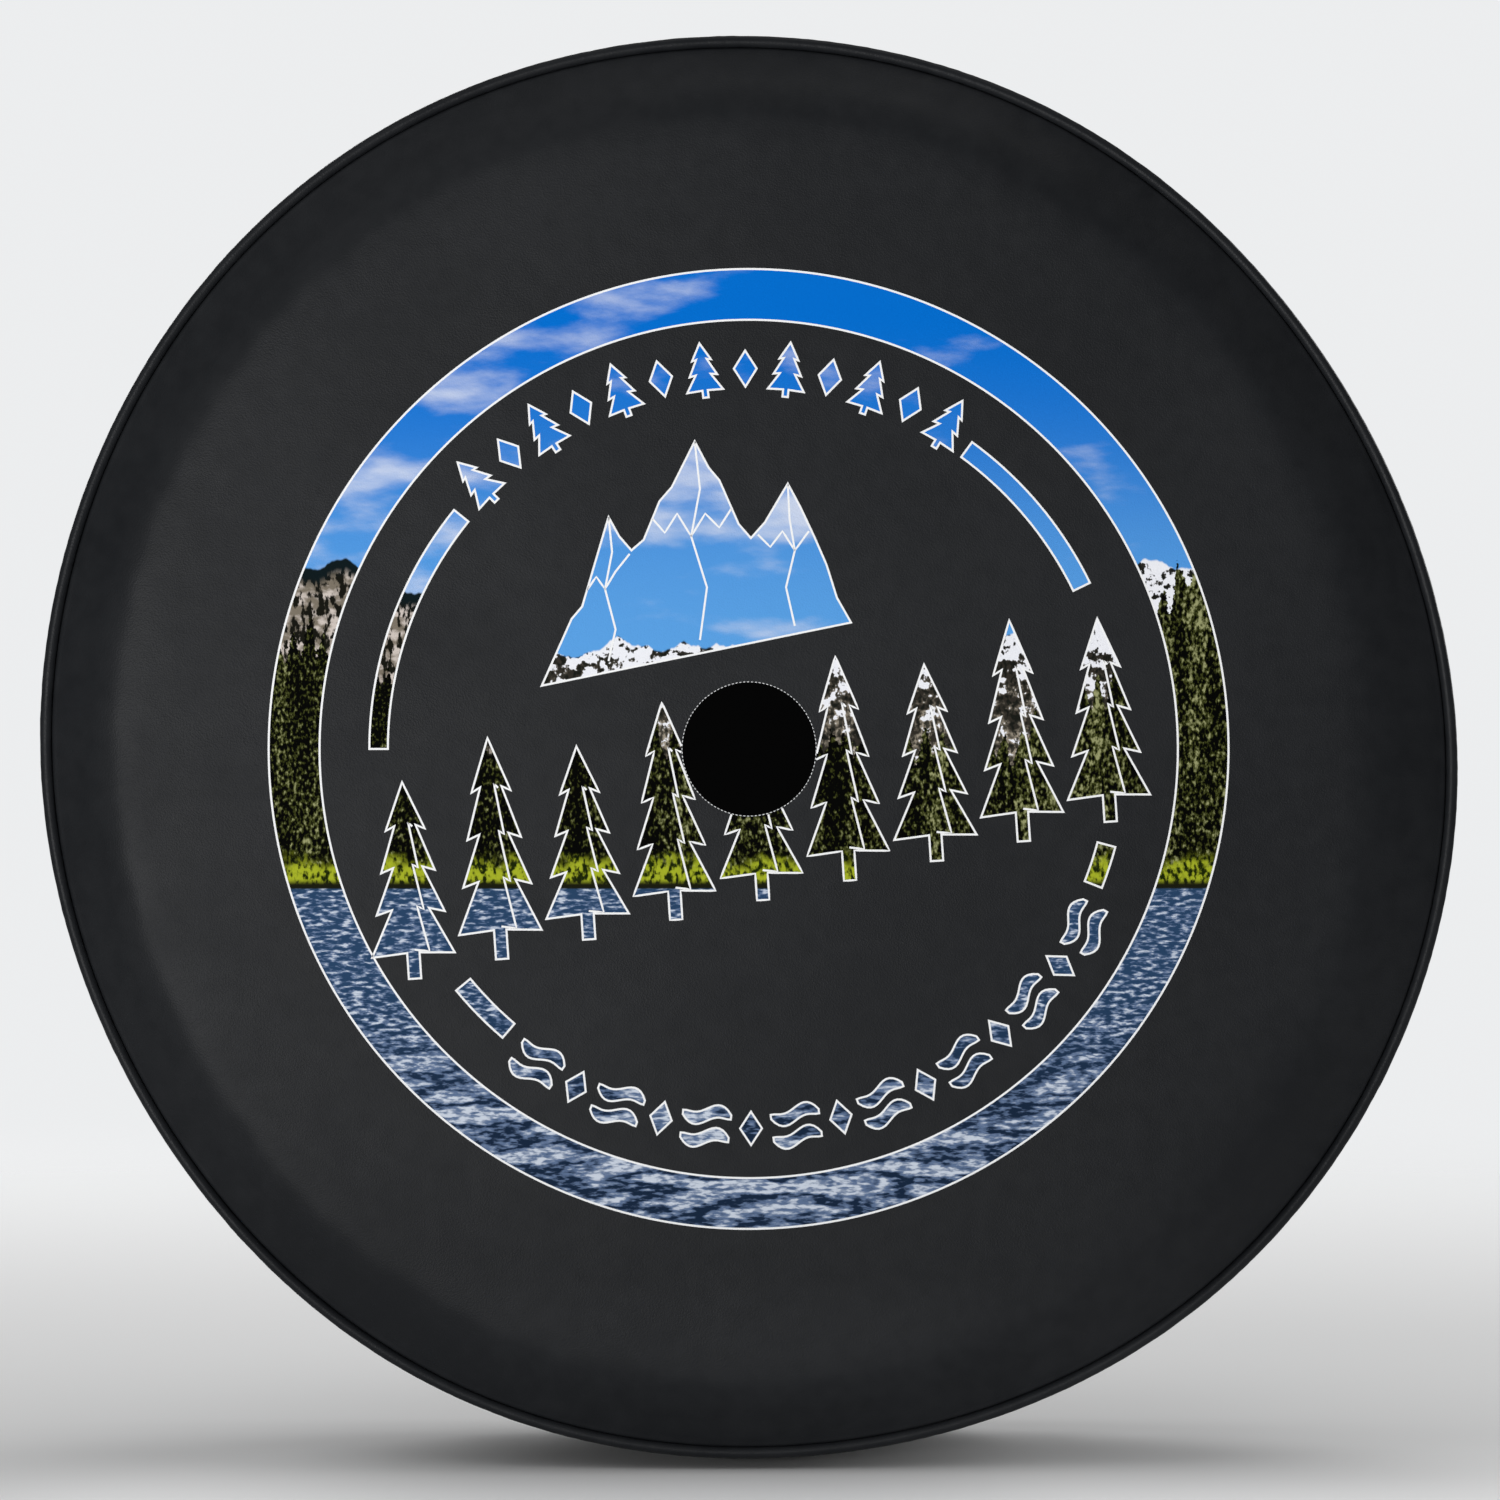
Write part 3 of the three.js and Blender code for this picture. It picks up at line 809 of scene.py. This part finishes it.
def side_joins():
    """Tape behind each side join and two rows of stitches across it."""
    line = band_line()
    shown = line[(line[:, 1] > -0.098) & (line[:, 0] > np.where(line[:, 1] > 0, 0.3385, 0.400))]
    for side_name, middle_angle in (("right", 0.0), ("left", math.pi)):
        width = np.linspace(-13, 13, 15) * MM / BAND
        behind = shown[(shown[:, 1] > -0.0965) & (shown[:, 0] > 0.345)]
        grid, out = band_middle(middle_angle + width, behind)
        middle = turned(grid - out[None] * 1.9 * MM, middle_angle + width)
        strip = cloth(f"join_tape_{side_name}_strip", middle, 0.6 * MM, [BINDING], False)
        stand_in(f"join_tape_{side_name}")
        for row_name, row in (("upper", 1), ("lower", -1)):
            turn = row if side_name == "right" else -row
            phi = np.array([middle_angle + turn * JOIN_STITCH / BAND])
            grid, out = band_middle(phi, shown)
            on_cloth = turned(grid + out[None] * (VINYL / 2 + STITCH_LIFT), phi)[0]
            above = turned(grid + out[None] * 5 * MM, phi)[0]
            piece = stitches(
                f"join_stitches_{side_name}_{row_name}", on_cloth, above - on_cloth,
                4.4 * MM, 1.0 * MM, 0.85 * MM, BLACK_THREAD, closed=False,
            )
            stand_in(f"join_thread_{side_name}_{row_name}")


def hem_casing(name, start):
    """Half of the strip folded round the elastic, ruched along it, its two edges on the band."""
    gap = 0.25 * MM / ELASTIC[0]
    phi = np.linspace(start + gap, start + math.pi - gap, 601)
    radius = CASING_RADIUS - CASING_SKIN / 2 - 0.3 * MM
    flap = np.linspace(CASING_EDGE - 0.5 * MM, ELASTIC[0] + 6 * MM, 6)
    back = np.stack([flap, np.full(6, HEM_Y + CASING_HALF)], -1)
    front = np.stack([flap[::-1], np.full(6, HEM_Y - CASING_HALF)], -1)
    grid = by_angle(wrapped(ELASTIC, radius, CASING_HALF, 0, [back, front]), phi)
    away = grid - ELASTIC
    round_part = smooth(radius * 2.0, radius * 1.02, np.linalg.norm(away, axis=2, keepdims=True))
    ruche = (wave(phi, 235, 60, 61) * 0.30 + wave(phi, **FINE) * 0.25 + 0.15)[:, None, None] * MM
    grid += away / radius * ruche * round_part
    grid[..., 1] += hem_shift(phi)[:, None]
    piece = cloth(name + "_skin", turned(grid, phi), CASING_SKIN, [HEM_TAPE], False)
    stand_in(name)


def hem_stitches():
    phi = round_angles(900)
    radius = CASING_EDGE - 4 * MM
    height = HEM_Y + hem_shift(phi) + CASING_HALF + CASING_SKIN / 2 + STITCH_LIFT
    line = np.stack([np.full(len(phi), radius), height], -1)[:, None, :]
    on_tape = turned(line, phi)[:, 0]
    up = np.broadcast_to([0.0, 1.0, 0.0], on_tape.shape)
    row = stitches("hem_stitches", on_tape, up, 3.9 * MM, 0.9 * MM, 0.85 * MM, BLACK_THREAD)
    stand_in("hem_thread")


def elastic():
    phi = round_angles(900)
    sections = tube_round(ELASTIC, ELASTIC_RADIUS, phi, 12, hem_shift(phi))
    cord = solid_of_grid("elastic_braid_cord", sections, [ELASTIC_BRAID])
    stand_in("elastic_cord")


def elastic_ferrule():
    """Crimped sleeve over the elastic's two ends, inside the casing at the bottom."""
    steps, sides = 32, 16
    half = (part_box("elastic_cord_ferrule")[1][0] - 0.5 * MM) / ELASTIC[0]
    phi = -math.pi / 2 + np.linspace(-half, half, steps + 1)
    inner, outer = ELASTIC_RADIUS + 0.15 * MM, ELASTIC_RADIUS + 0.6 * MM
    crimp = 0.25 * MM * np.cos(np.linspace(-1, 1, steps + 1) * 3 * math.pi)
    shells = []
    for radius in (outer + np.minimum(crimp, 0), inner + 0 * crimp):
        line = ELASTIC + circle(1, sides)[None] * radius[:, None, None]
        line[..., 1] += hem_shift(phi)[:, None]
        shells.append(turned(line, phi).swapaxes(0, 1))
    outside, inside_back = shells[0], shells[1][:, ::-1]
    piece = solid_of_grid("elastic_ferrule", np.hstack([outside, inside_back]), [METAL])
    stand_in("elastic_cord_ferrule")


def care_label():
    """A blank folded label, sewn to the lower band near the hem."""
    low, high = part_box("care_label")
    width, length = high[0] - low[0], high[1] - low[1]
    across, along = np.linspace(-0.5, 0.5, 21), np.linspace(0, 1, 25)
    a, b = np.meshgrid(across, along, indexing="ij")
    curl = 3.2 * MM * smooth(0.35, 0.0, b) * (1 + 0.4 * np.sin(5 * a))
    sag = 0.2 * MM * np.cos(a * math.pi)
    middle = np.stack([a * width, low[1] + b * length, low[2] + 0.4 * MM + curl + sag], -1)
    piece = cloth("care_label_cloth", middle, 0.45 * MM, [LABEL_CLOTH], False)
    stand_in("care_label")


# ---------------- print on the face

# The print is drawn flat as (x, z) outlines round the camera opening, then laid on the cloth.
INK = 0.10 * MM  # thickness of the ink film
STROKE = 1.15 * MM  # width of the white outlines
PRINT_TILT = math.radians(12.7)  # the slope of the hill that the trees stand on
PRINT_CLEAR = OPENING + 0.6 * MM  # the print stops this far from the axis, at the opening
PRINT_STEP = 3 * MM  # greatest distance between the points of an outline
RING_INNER, RING_OUTER = 0.2443, 0.2732
DASH_INNER, DASH_OUTER = 0.2055, 0.2160


def arc_band(inner, outer, start, end):
    """Outline of a stretch of a ring."""
    steps = max(2, int(abs(end - start) / 1.5))
    angles = np.linspace(start, end, steps + 1)
    return np.vstack([polar(outer, angles), polar(inner, angles[::-1])])


def conifer(foot, height, width, tiers, lean=0.0):
    """Outline of a conifer: full boughs in tiers that widen downwards, on a short trunk."""
    right = [(0.0, height)]
    top, bottom = height * 0.97, height * 0.12
    for tier in range(1, tiers + 1):
        low = top - (top - bottom) * tier / tiers
        reach = width / 2 * (0.30 + 0.70 * tier / tiers)
        right.append((reach, low))
        if tier < tiers:
            right.append((reach * 0.54, low + height * 0.022))
    trunk = width * 0.075
    right += [(trunk, bottom + height * 0.012), (trunk, 0.0)]
    left = [(-x, z) for x, z in reversed(right[1:])]
    return placed(np.array(right + left), foot, lean)


def placed(shape, centre, angle):
    """The shape turned by the angle and moved to its place."""
    c, s = math.cos(angle), math.sin(angle)
    return shape @ np.array([[c, s], [-s, c]]) + centre


def diamond(centre, angle, wide, tall):
    return placed(np.array([(wide, 0), (0, tall), (-wide, 0), (0, -tall)]) / 2, centre, angle)


def ripple(centre, angle, length, thick, height):
    """Outline of one short wave."""
    t = np.linspace(-0.5, 0.5, 15)
    crest = np.stack([t * length, np.sin(t * 2 * math.pi) * height], -1)
    taper = thick / 2 * np.sqrt(np.clip(1 - (2 * t) ** 4, 0.12, 1))[:, None] * np.array([[0, 1]])
    return placed(np.vstack([crest + taper, (crest - taper)[::-1]]), centre, angle)


def large_trees(width=0.047):
    """A stand of conifers across the middle, on ground that rises to the right."""
    heights = [0.112, 0.126, 0.110, 0.124, 0.116, 0.128, 0.112, 0.126, 0.116]
    trees = []
    for x, height in zip(np.linspace(-0.190, 0.206, len(heights)), heights):
        ground = -0.134 + (x + 0.205) * math.tan(PRINT_TILT)
        trees.append(conifer((x, ground), height, width, 4, PRINT_TILT * 0.3))
    return trees


def bough_lines():
    """Strokes inside the right half of each large tree, alongside its outline."""
    lines = []
    for tree, narrow in zip(large_trees(), large_trees(0.020)):
        boughs = narrow[1:-1][: len(narrow) // 2 - 1]
        lines.append(boughs + (tree[0] - tree[1]) * 0.06)
    return lines


def peaks():
    """Outline of three mountain tops on sloping ground."""
    return np.array([
        (-0.118, 0.036), (-0.101, 0.074), (-0.095, 0.081), (-0.080, 0.132), (-0.074, 0.121),
        (-0.067, 0.113), (-0.060, 0.119), (-0.051, 0.141), (-0.044, 0.149), (-0.031, 0.175),
        (-0.023, 0.160), (-0.017, 0.153), (-0.006, 0.128), (0.001, 0.120), (0.009, 0.129),
        (0.022, 0.151), (0.029, 0.138), (0.037, 0.121), (0.044, 0.105), (0.050, 0.086), (0.058, 0.072),
    ])


def snow_lines():
    """Open strokes below the three tops and down their ridges."""
    lines = [
        [(-0.0925, 0.090), (-0.087, 0.098), (-0.082, 0.091), (-0.076, 0.101), (-0.068, 0.111)],
        [
            (-0.055, 0.131), (-0.048, 0.123), (-0.041, 0.134), (-0.033, 0.121), (-0.025, 0.134),
            (-0.017, 0.126), (-0.010, 0.137),
        ],
        [(0.005, 0.122), (0.012, 0.115), (0.019, 0.124), (0.026, 0.113), (0.034, 0.124)],
        [(-0.080, 0.132), (-0.078, 0.112), (-0.082, 0.091), (-0.076, 0.068), (-0.080, 0.050)],
        [(-0.031, 0.175), (-0.028, 0.148), (-0.033, 0.121), (-0.024, 0.092), (-0.028, 0.062)],
        [(0.022, 0.151), (0.023, 0.131), (0.026, 0.113), (0.021, 0.092), (0.026, 0.070)],
    ]
    return [np.array(line) for line in lines]


def arc_marks():
    """Small trees and diamonds along the upper arc, waves and diamonds along the lower one."""
    marks = []
    for k, degrees in enumerate(np.linspace(135.5, 58.5, 13)):
        lean = math.radians(degrees - 90)
        if k % 2 == 0:
            marks.append(conifer(polar(0.2015, degrees), 0.031, 0.0205, 3, lean))
        else:
            marks.append(diamond(polar(0.2165, degrees), lean, 0.0130, 0.0205))
    for k, degrees in enumerate(np.linspace(-124, -28, 15)):
        lean = math.radians(degrees + 90)
        if k % 2 == 0:
            for radius in (0.2095, 0.2225):
                marks.append(ripple(polar(radius, degrees), lean, 0.0275, 0.0072, 0.0026))
        else:
            marks.append(diamond(polar(0.216, degrees), lean, 0.0125, 0.0190))
    return marks


def arc_dashes():
    """Stretches of a thin inner ring, left and right, with short ends below."""
    spans = [(141, 180), (26, 54), (-140.5, -130.5), (-21.5, -15)]
    return [arc_band(DASH_INNER, DASH_OUTER, start, end) for start, end in spans]


def dense(shape, closed=True):
    """The same line with extra points."""
    ends = np.roll(shape, -1, 0) if closed else shape[1:]
    starts = shape if closed else shape[:-1]
    points = []
    for a, b in zip(starts, ends):
        steps = max(1, math.ceil(np.linalg.norm(b - a) / PRINT_STEP))
        points += [a + (b - a) * k / steps for k in range(steps)]
    return np.array(points if closed else points + [shape[-1]])


def stretches_outside(shape, radius):
    """The stretches of an outline outside that circle, each with whether it is closed."""
    distance = np.linalg.norm(shape, axis=1)
    if distance.min() > radius:
        return [(shape, True)]
    shape = np.roll(shape, -int(distance.argmin()), 0)
    distance = np.linalg.norm(shape, axis=1)
    stretches, current = [], []
    for k in range(1, len(shape) + 1):
        here, before = k % len(shape), k - 1
        outside = distance[here] > radius
        if outside != (distance[before] > radius):
            share = (radius - distance[before]) / (distance[here] - distance[before])
            current.append(shape[before] + (shape[here] - shape[before]) * share)
        if outside:
            current.append(shape[here])
        elif current:
            stretches.append((np.array(current), False))
            current = []
    return stretches


def anticlockwise(shape):
    x, z = shape[:, 0], shape[:, 1]
    return np.sum(x * np.roll(z, -1) - z * np.roll(x, -1)) > 0


def film(name, patches, material, lift):
    """One thin film of ink from flat patches, each a pair of points and faces."""
    points, faces = [], []
    for flat, patch in patches:
        base, count = len(points), len(flat)
        points += lay_on_face(flat, lift).tolist() + lay_on_face(flat, 0.02 * MM).tolist()
        edges = {}
        for face in patch:
            faces.append([base + k for k in face])
            faces.append([base + count + k for k in reversed(face)])
            for a, b in zip(face, [*face[1:], face[0]]):
                edges[(a, b)] = True
        for a, b in edges:
            if (b, a) not in edges:
                faces.append([base + b, base + a, base + count + a, base + count + b])
    build(name, points, faces, [material], sharp=40)


def filled(shape):
    """Points and faces that fill an outline up to the camera opening.

    Points inside it, a step apart, let the film follow the cloth.
    """
    step = 8 * MM
    xs, zs = (np.arange(a + step / 2, b, step) for a, b in zip(shape.min(0), shape.max(0)))
    extra = [(x, z) for x in xs for z in zs if inside((x, z), shape)]
    opening = circle(PRINT_CLEAR, 120)
    extra = [p for p in extra if np.linalg.norm(opening - p, axis=1).min() > 2 * MM]
    points = [Vector(p) for p in [*shape, *opening, *extra]]
    outline_face = list(range(len(shape)))
    opening_face = list(range(len(shape), len(shape) + len(opening)))
    found = delaunay_2d_cdt(points, [], [outline_face, opening_face], 1, 1e-7)
    flat = np.array([tuple(p) for p in found[0]])
    kept = [list(face) for face, source in zip(found[2], found[5]) if source == [0]]
    used = sorted({k for face in kept for k in face})
    renumbered = {k: i for i, k in enumerate(used)}
    flat = flat[used]
    return flat, facing_front(flat, [[renumbered[k] for k in face] for face in kept])


def inside(point, shape):
    """Whether the point is in the outline, and not right beside its edge."""
    x, z = point
    a, b = shape, np.roll(shape, -1, 0)
    crosses = (a[:, 1] > z) != (b[:, 1] > z)
    at = a[:, 0] + (z - a[:, 1]) / np.where(crosses, b[:, 1] - a[:, 1], 1) * (b[:, 0] - a[:, 0])
    beside = np.linalg.norm(shape - point, axis=1).min() <= 2 * MM
    return np.sum(crosses & (at > x)) % 2 == 1 and not beside


def facing_front(flat, faces):
    """The faces with their corners in the order that makes them look along -Y."""
    return [face if anticlockwise(flat[face]) else face[::-1] for face in faces]


def stroked(shape, closed=True):
    """Points and faces of a white stroke along the line, with its corners mitred."""
    ahead = (np.roll(shape, -1, 0) - shape) if closed else np.gradient(shape, axis=0)
    behind = np.roll(ahead, 1, 0) if closed else ahead
    mitre = left_of(ahead) + left_of(behind)
    mitre /= np.maximum(np.linalg.norm(mitre, axis=1, keepdims=True), 1e-6)
    reach = STROKE / 2 / np.maximum(np.sum(mitre * left_of(ahead), axis=1, keepdims=True), 0.45)
    flat = np.vstack([shape + mitre * reach, shape - mitre * reach])
    count = len(shape)
    rows = range(count if closed else count - 1)
    faces = [[k, (k + 1) % count, (k + 1) % count + count, k + count] for k in rows]
    return flat, facing_front(flat, faces)


def ring_patch():
    """Points and faces of the printed ring."""
    across, around = 4, 360
    radii = np.linspace(RING_INNER, RING_OUTER, across + 1)
    flat = np.vstack([circle(radius, around) for radius in radii])
    faces = []
    for k in range(across):
        for i in range(around):
            a, b = k * around + i, k * around + (i + 1) % around
            faces.append([a, b, b + around, a + around])
    return flat, facing_front(flat, faces)


def printed_face():
    """The landscape ring and shapes, and the white outline round each of them."""
    shapes = [*large_trees(), peaks(), *arc_dashes(), *arc_marks()]
    shapes = [dense(shape if anticlockwise(shape) else shape[::-1]) for shape in shapes]
    film("print_landscape", [ring_patch(), *map(filled, shapes)], PRINT_LANDSCAPE, INK)
    strokes = [stroked(circle(radius, 480)) for radius in (RING_INNER, RING_OUTER)]
    for shape in shapes:
        strokes += [stroked(line, whole) for line, whole in stretches_outside(shape, PRINT_CLEAR)]
    for line in snow_lines() + bough_lines():
        line = dense(line, False)
        strokes.append(stroked(line[np.linalg.norm(line, axis=1) > PRINT_CLEAR], False))
    film("print_outlines", strokes, PRINT_WHITE, 1.8 * INK)


# ---------------- stage, light and camera

# A matte black sheet of painted shade: seen through the camera opening, it stands where the dark behind
# the hole would be.
def painted_shade_black():
    nodes = Nodes("painted_shade_black", roughness=1.0, specular=0.2)
    nodes.colour((0.001, 0.001, 0.001))
    return nodes.material


def fading_floor():
    """Pale floor that fades into the surround away from the cover."""
    nodes = Nodes("pale_floor", roughness=0.9, specular=0.2)
    nodes.colour((0.80, 0.80, 0.80))
    x, y, _ = nodes.split(nodes.place)
    far = nodes.math("SQRT", nodes.plus(nodes.times(x, x), nodes.times(y, y)))
    nodes.on_shader("Alpha", nodes.between(far, 0.7, 3.0, 1.0, 0.0))
    return nodes.material


def disc(name, radius, place, tilt, material):
    bpy.ops.mesh.primitive_circle_add(
        vertices=96, radius=radius, fill_type="NGON", location=place, rotation=(tilt, 0, 0)
    )
    made = bpy.context.object
    made.name = name
    made.data.materials.append(material)
    return made


def stage():
    """Floor under the cover, and far behind it a black flag of painted shade, seen only through the
    opening.
    """
    floor = disc("floor", 3.2, (0, 0, CAD_BOX[0][2] - 6 * MM), 0, fading_floor())
    # The black flag is painted shade: through the opening it shows black where the inside of the cover
    # would be in shade.
    flag = disc("painted_shade_flag", 0.55, (0, 6.0, 0), math.pi / 2, painted_shade_black())
    flag.visible_shadow = False


def lamp(name, place, target, size, power):
    light = bpy.data.lights.new(name, "AREA")
    light.shape = "SQUARE"
    light.size = size
    light.energy = power
    lamp_object = bpy.data.objects.new(name, light)
    lamp_object.location = place
    lamp_object.rotation_euler = (Vector(target) - Vector(place)).to_track_quat("-Z", "Y").to_euler()
    lamp_object.visible_camera = False
    bpy.context.scene.collection.objects.link(lamp_object)


def lights():
    """A soft key from the front and left, fill from above and behind, and a dim pale surround.

    The floor light lies low in front and faces down, so that the floor lights the slope at the
    cover's foot. The surround is bright only where the camera sees it.
    """
    lamp("key", (-1.16, -3.3, -0.45), (-0.1, 0, 0), 1.3, 93)
    lamp("edge_light", (-1.2, -1.4, 1.9), (-0.2, 0, 0.2), 1.2, 4)
    lamp("rear_fill", (-1.4, 3.6, 1.8), (0, 0, 0), 2.4, 90)
    lamp("side_fill", (3.0, 2.4, 1.3), (0, 0.1, 0), 2.0, 60)
    lamp("top", (0.4, -0.1, 3.2), (0, 0.0, 0), 2.6, 22)
    lamp("floor_light", (0.12, -0.72, -0.30), (0.12, -0.72, -1.0), 1.1, 1.8)
    world = bpy.data.worlds.new("surround")
    world.use_nodes = True
    nodes, links = world.node_tree.nodes, world.node_tree.links
    background = nodes["Background"]
    background.inputs["Color"].default_value = (0.84, 0.85, 0.86, 1)
    seen = nodes.new("ShaderNodeLightPath").outputs["Is Camera Ray"]
    strength = nodes.new("ShaderNodeMapRange")
    links.new(seen, strength.inputs["Value"])
    strength.inputs[3].default_value = 0.20
    strength.inputs[4].default_value = 1.0
    links.new(strength.outputs[0], background.inputs["Strength"])
    bpy.context.scene.world = world


def camera():
    """Level with the tyre's axis and a touch to the left of it, with a long lens."""
    distance, azimuth = 3.2, math.radians(-0.8)
    frame_width = 1.0556 * 2 * RIM
    data = bpy.data.cameras.new("camera")
    data.sensor_width = 36
    data.lens = 36 * (distance + WELT[1]) / frame_width
    view = bpy.data.objects.new("camera", data)
    view.location = (distance * math.sin(azimuth), -distance * math.cos(azimuth), 0)
    view.rotation_euler = (math.pi / 2, 0, azimuth)
    data.shift_x = 0.0027
    data.shift_y = -0.0007
    bpy.context.scene.collection.objects.link(view)
    bpy.context.scene.camera = view


# ---------------- the whole cover

camera()
stage()
lights()
face_panel()
opening_facing()
opening_stitches()
welt()
seam_binding()
tread_band("tread_band_upper", 0.0)
tread_band("tread_band_lower", math.pi)
side_joins()
hem_casing("hem_casing_upper", 0.0)
hem_casing("hem_casing_lower", math.pi)
hem_stitches()
elastic()
elastic_ferrule()
care_label()
printed_face()
bpy.context.scene.view_settings.view_transform = "Standard"
